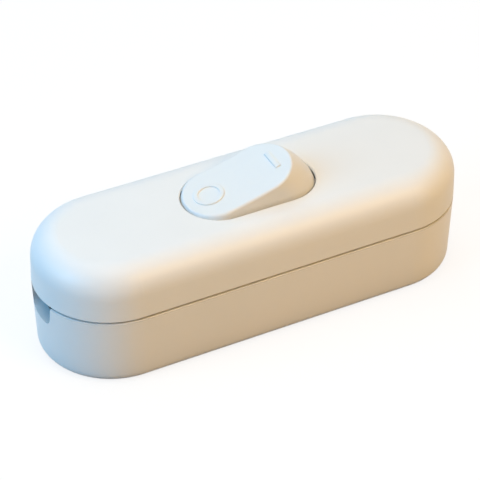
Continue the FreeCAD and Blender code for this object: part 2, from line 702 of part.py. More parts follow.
def main():
    """Build every piece at rest and write it to its own file."""
    nodes = {
        "upper_shell": upper_shell(),
        "lower_shell": lower_shell(),
        "rocker": rocker(),
        "terminal_screws": terminal_screws(),
        "supply_cord_clamp": cord_clamp(CLAMP_X),
        "load_cord_clamp": cord_clamp(-CLAMP_X),
        "cord_clamp_screws": clamp_screws(),
        "housing_screws": housing_screws(),
    }
    for pole, y in POLES.items():
        nodes[pole + "_plunger"] = plunger(y)
        nodes[pole + "_plunger_spring"] = plunger_spring(y)
        nodes[pole + "_contact_arm"] = contact_arm(y)
        nodes[pole + "_moving_tip"] = moving_tip(y)
        nodes[pole + "_pivot_strip"] = pivot_strip(y)
        nodes[pole + "_fixed_strip"] = fixed_strip(y)
        nodes[pole + "_fixed_tip"] = fixed_tip(y)
        nodes[pole + "_supply_block"] = terminal_block(1, y)
        nodes[pole + "_load_block"] = terminal_block(-1, y)
    os.makedirs("parts", exist_ok=True)
    for name, shape in nodes.items():
        shape.exportStep("parts/" + name + ".step")


main()
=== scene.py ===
"""Looks of an inline cord switch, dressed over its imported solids, in metres."""

import json
import logging
import math
from contextlib import contextmanager
from dataclasses import dataclass
from enum import Enum
from typing import Any, Callable, Iterator, Mapping, Optional, Union

import bmesh
import bpy
from mathutils import Matrix, Vector


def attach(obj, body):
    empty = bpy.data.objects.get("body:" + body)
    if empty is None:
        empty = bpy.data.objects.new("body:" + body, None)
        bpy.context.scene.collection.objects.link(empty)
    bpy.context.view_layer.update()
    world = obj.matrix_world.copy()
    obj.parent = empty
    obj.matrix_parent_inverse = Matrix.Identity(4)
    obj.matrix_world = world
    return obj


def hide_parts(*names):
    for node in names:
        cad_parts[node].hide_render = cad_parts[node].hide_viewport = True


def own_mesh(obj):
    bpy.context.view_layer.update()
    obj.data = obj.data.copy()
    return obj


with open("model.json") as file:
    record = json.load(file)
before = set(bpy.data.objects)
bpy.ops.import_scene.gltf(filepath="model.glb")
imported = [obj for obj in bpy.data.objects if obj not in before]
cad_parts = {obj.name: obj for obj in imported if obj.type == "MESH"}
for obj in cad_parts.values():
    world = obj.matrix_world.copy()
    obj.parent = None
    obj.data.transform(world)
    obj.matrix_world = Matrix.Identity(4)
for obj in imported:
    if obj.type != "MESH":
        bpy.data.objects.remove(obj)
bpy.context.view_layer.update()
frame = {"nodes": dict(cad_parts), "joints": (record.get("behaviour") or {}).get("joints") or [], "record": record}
MM = 0.001
SMOOTH_ANGLE = math.radians(35)
WELD_SHARE = 0.01
Colour = tuple[float, float, float]
Place = tuple[float, float, float]
WHITE: Colour = (1.0, 1.0, 1.0)
log = logging.getLogger("cord_switch")


class Side(Enum):
    """A choice between sides, with the sign of each."""

    @property
    def tag(self) -> str:
        """Name of the side, as pieces carry it in theirs."""
        return self.name.lower()


class Pole(Side):
    """The two conductors that the switch breaks, with their sign along Y."""

    LINE = -1
    NEUTRAL = 1


class CordEnd(Side):
    """The two ends of the housing, with their sign along X."""

    SUPPLY = 1
    LOAD = -1


class Drive(Enum):
    """How a screwdriver takes hold of a screw, with the number of its slots."""

    SLOT = 1
    CROSS = 2


class Element(Enum):
    """What edit mode selects, with the name of its list in a mesh."""

    EDGE = "edges"
    FACE = "faces"


class Signal:
    """A shader socket that takes part in Python arithmetic."""

    def __init__(self, graph: "NodeGraph", socket: bpy.types.NodeSocket) -> None:
        """Keep a socket with the graph that it belongs to."""
        self.graph = graph
        self.socket = socket

    def __add__(self, other: "Number") -> "Signal":
        """Sum of two values."""
        return self.graph.math("ADD", self, other)

    def __radd__(self, other: "Number") -> "Signal":
        """Sum of two values."""
        return self.graph.math("ADD", other, self)

    def __sub__(self, other: "Number") -> "Signal":
        """Difference of two values."""
        return self.graph.math("SUBTRACT", self, other)

    def __rsub__(self, other: "Number") -> "Signal":
        """Difference of two values."""
        return self.graph.math("SUBTRACT", other, self)

    def __mul__(self, other: "Number") -> "Signal":
        """Product of two values."""
        return self.graph.math("MULTIPLY", self, other)

    def __rmul__(self, other: "Number") -> "Signal":
        """Product of two values."""
        return self.graph.math("MULTIPLY", other, self)


Number = Union[float, Signal]


class NodeGraph:
    """A node tree under construction, of a material or of the world."""

    NOISE_MEAN = 0.5

    def __init__(self, owner: Union[bpy.types.Material, bpy.types.World]) -> None:
        """Start an empty tree on its owner.

        Args:
            owner: The material or world whose nodes are made.
        """
        owner.use_nodes = True
        self.tree = owner.node_tree
        self.tree.nodes.clear()

    def node(
        self,
        kind: str,
        settings: Mapping[str, Any] = {},
        sockets: Mapping[Union[str, int], Any] = {},
    ) -> bpy.types.Node:
        """Add a node.

        Args:
            kind: Blender's name for the type of node.
            settings: Properties of the node, set first.
            sockets: Values or signals for its inputs, by name or number.

        Returns:
            The new node.
        """
        node = self.tree.nodes.new(kind)
        for name, value in settings.items():
            setattr(node, name, value)
        for name, value in sockets.items():
            if isinstance(value, Signal):
                self.tree.links.new(value.socket, node.inputs[name])
            else:
                node.inputs[name].default_value = value
        return node

    def output(self, node: bpy.types.Node, name: Union[str, int] = 0) -> Signal:
        """One output of a node as a signal."""
        return Signal(self, node.outputs[name])

    def math(self, operation: str, first: Number, second: Number = 0.0) -> Signal:
        """Result of a Math node on one or two values."""
        return self.output(self.node("ShaderNodeMath", {"operation": operation}, {0: first, 1: second}))

    def place(self, stretch: Place = (1.0, 1.0, 1.0)) -> Signal:
        """Object coordinates.

        Args:
            stretch: Factor along each axis, smaller where a pattern runs longer.

        Returns:
            The stretched coordinates.
        """
        coordinates = self.output(self.node("ShaderNodeTexCoord"), "Object")
        return self.output(self.node("ShaderNodeMapping", {}, {"Vector": coordinates, "Scale": stretch}))

    def along(self, place: Signal, axis: str) -> Signal:
        """One coordinate of a place, by the letter of its axis."""
        return self.output(self.node("ShaderNodeSeparateXYZ", {}, {"Vector": place}), axis)

    def noise(self, place: Signal, size: float, detail: float) -> Signal:
        """Soft noise from 0 to 1.

        Args:
            place: Coordinates that it lies on.
            size: Size of its patches in metres.
            detail: Octaves of finer noise in it.

        Returns:
            The noise.
        """
        sockets = {"Vector": place, "Scale": 1 / size, "Detail": detail}
        return self.output(self.node("ShaderNodeTexNoise", {}, sockets))

    def swing(self, noise: Signal, width: float) -> Signal:
        """Noise as a swing of some width about zero."""
        return (noise - self.NOISE_MEAN) * width

    def blend(self, share: Number, first: Union[Colour, Signal], second: Union[Colour, Signal]) -> Signal:
        """Mix of two colours.

        Args:
            share: Share of the second colour.
            first: First colour, as numbers or a signal.
            second: Second colour, as numbers or a signal.

        Returns:
            The mixed colour.
        """
        first_colour = first if isinstance(first, Signal) else (*first, 1.0)
        second_colour = second if isinstance(second, Signal) else (*second, 1.0)
        sockets = {0: share, 6: first_colour, 7: second_colour}
        return self.output(self.node("ShaderNodeMix", {"data_type": "RGBA"}, sockets), 2)

    def fade(self, value: Signal, start: float, end: float) -> Signal:
        """One up to a start, zero from an end on, and smooth between them.

        Args:
            value: The value that fades.
            start: Where the fade starts.
            end: Where it ends.

        Returns:
            The share that is left.
        """
        sockets = {"Value": value, "From Min": start, "From Max": end, "To Min": 1.0, "To Max": 0.0}
        return self.output(self.node("ShaderNodeMapRange", {"interpolation_type": "SMOOTHSTEP"}, sockets))

    def bump(self, height: Signal, depth: float) -> Signal:
        """Normal of a surface with small relief.

        Args:
            height: Relief from 0 to 1.
            depth: Height of the relief in metres.

        Returns:
            The normal.
        """
        return self.output(self.node("ShaderNodeBump", {}, {"Height": height, "Distance": depth}), "Normal")

    def shader(self, kind: str, colour: Colour, **sockets: float) -> Signal:
        """Plain shader of one colour.

        Args:
            kind: Blender's name for the type of shader.
            colour: Its colour.
            sockets: Its other values, by name.

        Returns:
            The shader.
        """
        return self.output(self.node(kind, {}, {"Color": (*colour, 1.0), **sockets}))

    def mixed(self, share: Number, first: Signal, second: Signal) -> Signal:
        """Mix of two shaders, by the share of the second."""
        return self.output(self.node("ShaderNodeMixShader", {}, {0: share, 1: first, 2: second}))

    def surface(self, **sockets: Any) -> None:
        """Finish the tree with a Principled shader.

        Args:
            sockets: Its values and signals, by name with _ for a space.
        """
        named = {name.replace("_", " "): value for name, value in sockets.items()}
        shader = self.node("ShaderNodeBsdfPrincipled", {}, named)
        self.finish(self.output(shader))

    def finish(self, shader: Signal, kind: str = "ShaderNodeOutputMaterial") -> None:
        """Send a shader to the tree's output."""
        self.node(kind, {}, {"Surface": shader})


@dataclass(frozen=True)
class Finish:
    """What a piece is made of, in two shades that play into each other."""

    name: str
    colour: Colour
    shade: Colour
    roughness: float

    def paint(self, graph: NodeGraph) -> None:
        """Make the nodes of the finish in a tree."""
        raise NotImplementedError

    def material(self) -> bpy.types.Material:
        """The finish as a material.

        Returns:
            A new material.
        """
        material = bpy.data.materials.new(self.name)
        self.paint(NodeGraph(material))
        return material


@dataclass(frozen=True)
class JointDust:
    """Painted shade along the joint of the shells: a band of darker colour where the shadow of the gap falls."""

    colour: Colour = (0.34, 0.3, 0.26)
    share: float = 0.32
    height: float = 12.2 * MM
    core: float = 0.15 * MM
    edge: float = 0.45 * MM

    def over(self, graph: NodeGraph, place: Signal, unshaded: Signal) -> Signal:
        """Colour of a surface with painted shade along the joint.

        Args:
            graph: The tree that it is made in.
            place: Object coordinates.
            unshaded: Colour of the surface without the painted shade.

        Returns:
            The colour, darker along the joint.
        """
        off_joint = graph.math("ABSOLUTE", graph.along(place, "Z") - self.height)
        # painted shade: colour blended towards dark in a band round the joint's height
        return graph.blend(graph.fade(off_joint, self.core, self.edge) * self.share, unshaded, self.colour)


@dataclass(frozen=True)
class MouldedPlastic(Finish):
    """Satin moulded plastic with faint clouding, slow waviness and a fine grain."""

    cloud_size: float = 7 * MM
    cloud_detail: float = 4.0
    cloud_gloss: float = 0.12
    wave_size: float = 9 * MM
    wave_detail: float = 1.0
    wave_depth: float = 0.006 * MM
    grain_size: float = 0.16 * MM
    grain_detail: float = 3.0
    grain_depth: float = 0.0016 * MM
    grain_gloss: float = 0.06
    # painted shade along the joint of the shells, if the finish has it
    dust: Optional[JointDust] = None

    def paint(self, graph: NodeGraph) -> None:
        """Make the nodes of the finish.

        Args:
            graph: The tree that they are made in.
        """
        place = graph.place()
        cloud = graph.noise(place, self.cloud_size, self.cloud_detail)
        grain = graph.noise(place, self.grain_size, self.grain_detail)
        wave = graph.noise(place, self.wave_size, self.wave_detail)
        unshaded = graph.blend(cloud, self.colour, self.shade)
        gloss = graph.swing(cloud, self.cloud_gloss) + graph.swing(grain, self.grain_gloss)
        graph.surface(
            # painted shade along the shell joint, when the finish has it
            Base_Color=self.dust.over(graph, place, unshaded) if self.dust else unshaded,
            Roughness=self.roughness + gloss,
            Normal=graph.bump(wave + grain * (self.grain_depth / self.wave_depth), self.wave_depth),
        )


@dataclass(frozen=True)
class RolledMetal(Finish):
    """Stamped strip or drawn stock, with rolling streaks along X and a little tarnish."""

    streak_size: float = 0.12 * MM
    streak_length: float = 40.0
    streak_detail: float = 2.0
    streak_depth: float = 0.0012 * MM
    streak_gloss: float = 0.2
    tarnish_size: float = 2.5 * MM
    tarnish_detail: float = 5.0
    tarnish_share: float = 0.7
    tarnish_gloss: float = 0.15

    def paint(self, graph: NodeGraph) -> None:
        """Make the nodes of the finish.

        Args:
            graph: The tree that they are made in.
        """
        drawn_out = graph.place((1 / self.streak_length, 1.0, 1.0))
        streak = graph.noise(drawn_out, self.streak_size, self.streak_detail)
        patch = graph.noise(graph.place(), self.tarnish_size, self.tarnish_detail)
        tarnish = patch * self.tarnish_share + streak * (1 - self.tarnish_share)
        gloss = graph.swing(streak, self.streak_gloss) + graph.swing(patch, self.tarnish_gloss)
        graph.surface(
            Base_Color=graph.blend(tarnish, self.colour, self.shade),
            Metallic=1.0,
            Roughness=self.roughness + gloss,
            Normal=graph.bump(streak, self.streak_depth),
        )


@dataclass(frozen=True)
class PlatedMetal(Finish):
    """Plated or polished metal with a faint two-tone bloom and fine scratches."""

    bloom_size: float = 1.4 * MM
    bloom_detail: float = 3.0
    scratch_size: float = 0.07 * MM
    scratch_detail: float = 4.0
    scratch_depth: float = 0.0006 * MM
    scratch_gloss: float = 0.2

    def paint(self, graph: NodeGraph) -> None:
        """Make the nodes of the finish.

        Args:
            graph: The tree that they are made in.
        """
        place = graph.place()
        bloom = graph.noise(place, self.bloom_size, self.bloom_detail)
        scratch = graph.noise(place, self.scratch_size, self.scratch_detail)
        graph.surface(
            Base_Color=graph.blend(bloom, self.colour, self.shade),
            Metallic=1.0,
            Roughness=self.roughness + graph.swing(scratch, self.scratch_gloss),
            Normal=graph.bump(scratch, self.scratch_depth),
        )


class Finishes:
    """Every finish of the switch, by the record's material slot."""

    def __init__(self) -> None:
        """Make each finish once."""
        finishes: dict[str, Finish] = {
            # the housing's finish carries painted shade along its shell joint
            "housing_plastic": MouldedPlastic(
                "housing_white", (0.87, 0.87, 0.865), (0.84, 0.845, 0.84), 0.4, dust=JointDust()
            ),
            "rocker_plastic": MouldedPlastic(
                "rocker_white", (0.81, 0.81, 0.795), (0.79, 0.795, 0.785), 0.34, grain_depth=0.0009 * MM
            ),
            "inner_plastic": MouldedPlastic(
                "natural_nylon", (0.68, 0.64, 0.53), (0.6, 0.56, 0.45), 0.45, cloud_size=2 * MM
            ),
            "plated_steel": PlatedMetal("zinc_plate", (0.62, 0.63, 0.64), (0.68, 0.64, 0.55), 0.34),
            "spring_steel": RolledMetal("drawn_spring_wire", (0.45, 0.45, 0.46), (0.33, 0.33, 0.34), 0.32),
            "brass": RolledMetal("stamped_brass", (0.72, 0.52, 0.2), (0.55, 0.36, 0.13), 0.3),
            "copper_alloy": RolledMetal("contact_bronze", (0.73, 0.42, 0.22), (0.52, 0.27, 0.14), 0.3),
            "contact_silver": PlatedMetal("contact_silver", (0.86, 0.85, 0.82), (0.72, 0.69, 0.62), 0.28),
        }
        self.materials = {slot: finish.material() for slot, finish in finishes.items()}

    def dress_nodes(self) -> None:
        """Give every solid the finish of its slot."""
        for subpart in frame["record"]["subparts"]:
            node = frame["nodes"][subpart["node"]]
            node.material_slots[0].material = self.materials[subpart["material_slot"]]
            log.info("dressed %s in %s", subpart["node"], subpart["material_slot"])

    def dress(self, piece: bpy.types.Object, slot: str) -> None:
        """Give a new piece the finish of a slot.

        Args:
            piece: The new piece.
            slot: The record's material slot.
        """
        piece.data.materials.clear()
        piece.data.materials.append(self.materials[slot])


class Bench:
    """Selection and edit-mode helpers for modelling one piece at a time."""

    @staticmethod
    def take(piece: bpy.types.Object) -> None:
        """Make a piece the only one selected, and active.

        Args:
            piece: The piece to work on.
        """
        bpy.ops.object.select_all(action="DESELECT")
        piece.select_set(True)
        bpy.context.view_layer.objects.active = piece

    @staticmethod
    def new(name: str, add: Callable[..., Any], **sizes: Any) -> bpy.types.Object:
        """Add a primitive as a named piece.

        Args:
            name: Name of the piece.
            add: The operator that adds the primitive.
            sizes: What the operator is given.

        Returns:
            The piece, active and selected alone.
        """
        bpy.ops.object.select_all(action="DESELECT")
        add(**sizes)
        bpy.ops.object.transform_apply(location=True, rotation=True, scale=True)
        piece = bpy.context.object
        piece.name = name
        piece.data.name = name
        return piece

    @staticmethod
    @contextmanager
    def editing(piece: bpy.types.Object) -> Iterator[None]:
        """Edit mode on a piece, all selected at first, left again at the end.

        Args:
            piece: The piece to edit.

        Returns:
            A context for the edits.
        """
        Bench.take(piece)
        bpy.ops.object.mode_set(mode="EDIT")
        bpy.ops.mesh.select_mode(type="FACE")
        bpy.ops.mesh.select_all(action="SELECT")
        yield
        bpy.ops.object.mode_set(mode="OBJECT")

    @staticmethod
    def pick(piece: bpy.types.Object, element: Element, wanted: Callable[[Vector], bool]) -> None:
        """Select some edges or faces of a piece in edit mode, and no others.

        Args:
            piece: The piece.
            element: Whether edges or faces are picked.
            wanted: Test that all corners of a picked one pass.
        """
        bpy.ops.mesh.select_mode(type=element.name)
        bpy.ops.mesh.select_all(action="DESELECT")
        mesh = bmesh.from_edit_mesh(piece.data)
        for item in getattr(mesh, element.value):
            if all(wanted(vertex.co) for vertex in item.verts):
                item.select_set(True)
        bmesh.update_edit_mesh(piece.data)

    @staticmethod
    def turn_outwards() -> None:
        """Point all faces of the piece in edit mode outwards."""
        bpy.ops.mesh.select_all(action="SELECT")
        bpy.ops.mesh.normals_make_consistent(inside=False)

    @staticmethod
    def apply(piece: bpy.types.Object, kind: str, **settings: Any) -> None:
        """Add a modifier to a piece and apply it.

        Args:
            piece: The piece.
            kind: Blender's name for the type of modifier.
            settings: Properties of the modifier.
        """
        Bench.take(piece)
        modifier = piece.modifiers.new(kind.lower(), kind)
        for name, value in settings.items():
            setattr(modifier, name, value)
        bpy.ops.object.modifier_apply(modifier=modifier.name)

    @staticmethod
    def wind(piece: bpy.types.Object, turns: int, pitch: float, steps: int) -> None:
        """Sweep an outline along a helix round Z.

        Args:
            piece: The outline.
            turns: Number of turns.
            pitch: Rise of each turn.
            steps: Straight runs in a turn.
        """
        Bench.apply(
            piece, "SCREW", axis="Z", iterations=turns, screw_offset=pitch, steps=steps, render_steps=steps
        )

    @staticmethod
    def settle(piece: bpy.types.Object, place: Matrix, body: str) -> None:
        """Put a piece in its place, write the place into its mesh and let it ride on a body.

        Args:
            piece: A piece modelled round the origin.
            place: Its place in the frame.
            body: The body that it moves with.
        """
        piece.matrix_world = place
        Bench.take(piece)
        bpy.ops.object.transform_apply(location=True, rotation=True, scale=True)
        bpy.ops.object.shade_smooth_by_angle(angle=SMOOTH_ANGLE)
        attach(piece, body)
        log.info("made %s on %s", piece.name, body)

    @staticmethod
    def repeat(
        pattern: bpy.types.Object, places: Mapping[str, Matrix], body: str
    ) -> list[bpy.types.Object]:
        """Settle copies of a piece, each with its own mesh, and drop the piece itself.

        Args:
            pattern: The piece, modelled round the origin.
            places: Place of each copy, by the copy's name.
            body: The body that they move with.

        Returns:
            The copies.
        """
        copies = []
        for name, place in places.items():
            copy = pattern.copy()
            copy.data = pattern.data.copy()
            copy.name = copy.data.name = name
            bpy.context.scene.collection.objects.link(copy)
            Bench.settle(copy, place, body)
            copies.append(copy)
        bpy.data.objects.remove(pattern)
        return copies


def packed_joint(name: str) -> Mapping[str, Any]:
    """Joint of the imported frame, by its name."""
    return next(joint for joint in frame["joints"] if joint["name"] == name)


@dataclass
class Screw:
    """One threaded screw, modelled with its seat at the origin, head up and shank down."""

    kind: str
    shank_radius: float
    shank_length: float
    pitch: float
    thread_depth: float
    tip_length: float
    drive: Drive
    drive_span: float
    drive_width: float
    drive_depth: float
    drive_taper: tuple[float, float] = (0.8, 0.7)
    head_radius: float = 0.0
    head_height: float = 0.0
    head_round: float = 0.0
    round_steps: int = 5
    crest_share: float = 0.2
    root_share: float = 0.55
    sides: int = 36

    def flank(self, low: float) -> bpy.types.Object:
        """Outline of one turn of the thread, open towards the axis.

        Args:
            low: Height at which the thread starts.

        Returns:
            Three edges in the XZ plane, one pitch below the start.
        """
        flank = Bench.new(
            self.kind, bpy.ops.mesh.primitive_plane_add, size=1.0, rotation=(math.pi / 2, 0, 0)
        )
        middle = (self.shank_radius - self.thread_depth / 2, 0, low - self.pitch)
        with Bench.editing(flank):
            bpy.ops.transform.resize(value=(self.thread_depth, 1, self.pitch), center_override=(0, 0, 0))
            bpy.ops.transform.translate(value=middle)
            Bench.pick(flank, Element.EDGE, lambda corner: corner.x > middle[0])
            bpy.ops.transform.resize(value=(1, 1, self.crest_share), center_override=middle)
            Bench.pick(flank, Element.EDGE, lambda corner: corner.x < middle[0])
            bpy.ops.mesh.delete(type="EDGE")
        return flank

    def shank(self) -> bpy.types.Object:
        """Shank with a thread, from one turn of its outline swept along a helix.

        Returns:
            The shank, flat at its top and tapered at its tip.
        """
        low = self.tip_length - self.shank_length
        top = self.head_height / 2
        weld = WELD_SHARE * self.pitch
        shank = self.flank(low)
        turns = math.ceil((self.shank_length + top) / self.pitch) + 2
        Bench.wind(shank, turns, self.pitch, self.sides)
        with Bench.editing(shank):
            bpy.ops.mesh.remove_doubles(threshold=weld)
            bpy.ops.mesh.bisect(plane_co=(0, 0, low), plane_no=(0, 0, 1), use_fill=True, clear_inner=True)
            bpy.ops.mesh.select_all(action="SELECT")
            bpy.ops.mesh.bisect(plane_co=(0, 0, top), plane_no=(0, 0, 1), use_fill=True, clear_outer=True)
            Bench.pick(shank, Element.FACE, lambda corner: corner.z < low + weld)
            bpy.ops.mesh.extrude_region_move(TRANSFORM_OT_translate={"value": (0, 0, -self.tip_length)})
            tip = (0, 0, -self.shank_length)
            bpy.ops.transform.resize(value=(self.root_share, self.root_share, 1), center_override=tip)
            Bench.turn_outwards()
        return shank

    def head(self) -> bpy.types.Object:
        """Head with a domed rim.

        Returns:
            The head, standing on the origin.
        """
        head = Bench.new(
            self.kind + "_head",
            bpy.ops.mesh.primitive_cylinder_add,
            vertices=self.sides,
            radius=self.head_radius,
            depth=self.head_height,
            location=(0, 0, self.head_height / 2),
        )
        with Bench.editing(head):
            Bench.pick(head, Element.EDGE, lambda corner: corner.z > self.head_height / 2)
            bpy.ops.mesh.bevel(offset=self.head_round, segments=self.round_steps, affect="EDGES")
        return head

    def blade(self) -> bpy.types.Object:
        """Blade of the screwdriver, a little narrower at its tip.

        Returns:
            The blade, with its middle at the top of the screw.
        """
        blade = Bench.new(self.kind + "_blade", bpy.ops.mesh.primitive_cube_add, size=1.0)
        with Bench.editing(blade):
            size = (self.drive_span, self.drive_width, 2 * self.drive_depth)
            bpy.ops.transform.resize(value=size, center_override=(0, 0, 0))
            bpy.ops.transform.translate(value=(0, 0, self.head_height))
            Bench.pick(blade, Element.FACE, lambda corner: corner.z < self.head_height)
            bpy.ops.transform.resize(value=(*self.drive_taper, 1), center_override=(0, 0, 0))
        return blade

    def model(self) -> bpy.types.Object:
        """The whole screw.

        Returns:
            One closed piece round the origin.
        """
        screw = self.shank()
        if self.head_height:
            head = self.head()
            Bench.apply(screw, "BOOLEAN", object=head, operation="UNION", solver="EXACT")
            bpy.data.objects.remove(head)
        blade = self.blade()
        for turn in range(self.drive.value):
            blade.rotation_euler.z = turn * math.pi / 2
            bpy.context.view_layer.update()
            Bench.apply(screw, "BOOLEAN", object=blade, operation="DIFFERENCE", solver="EXACT")
        bpy.data.objects.remove(blade)
        return screw


@dataclass
class Fasteners:
    """Every screw of the switch, in place of the plain solids."""

    housing_x: float = 19.05 * MM
    housing_seat: float = 2.4 * MM
    clamp_x: float = 27.7 * MM
    clamp_y: float = 5.7 * MM
    clamp_seat: float = 14.5 * MM
    terminal_x: float = 12.55 * MM
    terminal_y: float = 3.2 * MM
    terminal_top: float = 10.0 * MM

    def four_places(self, kind: str, x: float, y: float, z: float) -> dict[str, Matrix]:
        """Upright places at both ends and both poles.

        Args:
            kind: Name of what stands there.
            x: Distance from the middle along the cord.
            y: Distance from the middle across it.
            z: Height.

        Returns:
            Each place, by the name of its piece.
        """
        return {
            f"{kind}_{end.tag}_{pole.tag}": Matrix.Translation((end.value * x, pole.value * y, z))
            for end in CordEnd
            for pole in Pole
        }

    def housing_screws(self) -> list[bpy.types.Object]:
        """The two long screws that close the shells from below.

        Returns:
            The screws.
        """
        screw = Screw(
            "housing_screw",
            shank_radius=1.4 * MM,
            shank_length=14.7 * MM,
            pitch=1.1 * MM,
            thread_depth=0.36 * MM,
            tip_length=1.2 * MM,
            drive=Drive.CROSS,
            drive_span=2.9 * MM,
            drive_width=0.75 * MM,
            drive_depth=1.2 * MM,
            head_radius=2.6 * MM,
            head_height=1.9 * MM,
            head_round=0.7 * MM,
        )
        upside_down = Matrix.Rotation(math.pi, 4, "X")
        places = {}
        for end in CordEnd:
            seat = Matrix.Translation((end.value * self.housing_x, 0, self.housing_seat))
            places[f"housing_screw_{end.tag}"] = seat @ upside_down
        return Bench.repeat(screw.model(), places, "housing")

    def clamp_screws(self) -> list[bpy.types.Object]:
        """The four screws that hold the cord clamps down.

        Returns:
            The screws.
        """
        screw = Screw(
            "clamp_screw",
            shank_radius=1.1 * MM,
            shank_length=8.0 * MM,
            pitch=0.8 * MM,
            thread_depth=0.26 * MM,
            tip_length=0.8 * MM,
            drive=Drive.CROSS,
            drive_span=2.3 * MM,
            drive_width=0.6 * MM,
            drive_depth=0.85 * MM,
            head_radius=2.0 * MM,
            head_height=1.4 * MM,
            head_round=0.5 * MM,
        )
        places = self.four_places(screw.kind, self.clamp_x, self.clamp_y, self.clamp_seat)
        return Bench.repeat(screw.model(), places, "housing")

    def terminal_screws(self) -> list[bpy.types.Object]:
        """The four headless screws that press the wires into the blocks.

        Returns:
            The screws.
        """
        screw = Screw(
            "terminal_screw",
            shank_radius=1.15 * MM,
            shank_length=4.1 * MM,
            pitch=0.5 * MM,
            thread_depth=0.2 * MM,
            tip_length=0.35 * MM,
            drive=Drive.SLOT,
            drive_span=3.0 * MM,
            drive_width=0.6 * MM,
            drive_depth=0.8 * MM,
            root_share=0.7,
        )
        places = self.four_places(screw.kind, self.terminal_x, self.terminal_y, self.terminal_top)
        return Bench.repeat(screw.model(), places, "housing")

    def build(self, finishes: Finishes) -> None:
        """Make the screws in place of the plain ones.

        Args:
            finishes: The switch's finishes.
        """
        sets = {
            "housing_screws": self.housing_screws(),
            "cord_clamp_screws": self.clamp_screws(),
            "terminal_screws": self.terminal_screws(),
        }
        for node, screws in sets.items():
            for screw in screws:
                finishes.dress(screw, "plated_steel")
                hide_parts(node)


@dataclass
class RockerKey:
    """The rocker and its two raised marks: a ring on the off end and a bar on the on end."""

    crown: float = 7.35 * MM
    dish_radius: float = 80 * MM
    ring_place: float = -5.15 * MM
    ring_radius: float = 2.5 * MM
    ring_band: float = 0.78 * MM
    ring_sides: int = 72
    bar_place: float = 6.45 * MM
    bar_length: float = 4.1 * MM
    bar_width: float = 0.9 * MM
    mark_height: float = 0.22 * MM
    mark_sink: float = 0.15 * MM
    mark_edge: float = 0.09 * MM
    edge_steps: int = 3
    edge_angle: float = math.radians(60)

    def resting(self) -> Matrix:
        """Turn from level to rest about the hinge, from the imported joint.

        Returns:
            A frame at the hinge, turned with the rocker.
        """
        hinge = packed_joint("rocker_tilt")
        half_swing = math.radians(hinge["range_deg"][1]) / 2
        turn = Matrix.Rotation(-half_swing, 4, Vector(hinge["axis"]))
        return Matrix.Translation(hinge["pos_m"]) @ turn

    def face_place(self, x: float) -> Matrix:
        """Place on the dished face.

        Args:
            x: Distance from the rocker's middle towards the on end.

        Returns:
            A frame whose Z stands out of the face.
        """
        slope = math.asin(x / self.dish_radius)
        rise = self.crown + self.dish_radius * (1 - math.cos(slope))
        return self.resting() @ Matrix.Translation((x, 0, rise)) @ Matrix.Rotation(-slope, 4, "Y")

    def raise_mark(self, mark: bpy.types.Object) -> None:
        """Give a flat outline its height, sunk a little into the face, with soft edges.

        Args:
            mark: The outline, on the face's own XY plane.
        """
        with Bench.editing(mark):
            rise = (0, 0, self.mark_height + self.mark_sink)
            bpy.ops.mesh.extrude_region_move(TRANSFORM_OT_translate={"value": rise})
            bpy.ops.mesh.select_all(action="SELECT")
            bpy.ops.transform.translate(value=(0, 0, -self.mark_sink))
            Bench.turn_outwards()
        Bench.apply(
            mark,
            "BEVEL",
            width=self.mark_edge,
            segments=self.edge_steps,
            limit_method="ANGLE",
            angle_limit=self.edge_angle,
        )

    def off_ring(self) -> bpy.types.Object:
        """Ring that marks the off end.

        Returns:
            The ring, round the origin.
        """
        ring = Bench.new(
            "off_mark_ring",
            bpy.ops.mesh.primitive_circle_add,
            vertices=self.ring_sides,
            radius=self.ring_radius,
            fill_type="NGON",
        )
        with Bench.editing(ring):
            bpy.ops.mesh.inset(thickness=self.ring_band)
            bpy.ops.mesh.delete(type="FACE")
        self.raise_mark(ring)
        return ring

    def on_bar(self) -> bpy.types.Object:
        """Bar that marks the on end.

        Returns:
            The bar, with its middle at the origin.
        """
        bar = Bench.new("on_mark_bar", bpy.ops.mesh.primitive_plane_add, size=1.0)
        with Bench.editing(bar):
            bpy.ops.transform.resize(value=(self.bar_width, self.bar_length, 1.0))
        self.raise_mark(bar)
        return bar

    def build(self, finishes: Finishes) -> None:
        """Make the marks and set them on the rocker.

        Args:
            finishes: The switch's finishes.
        """
        for mark, place in ((self.off_ring(), self.ring_place), (self.on_bar(), self.bar_place)):
            Bench.settle(mark, self.face_place(place), "rocker")
            finishes.dress(mark, "rocker_plastic")


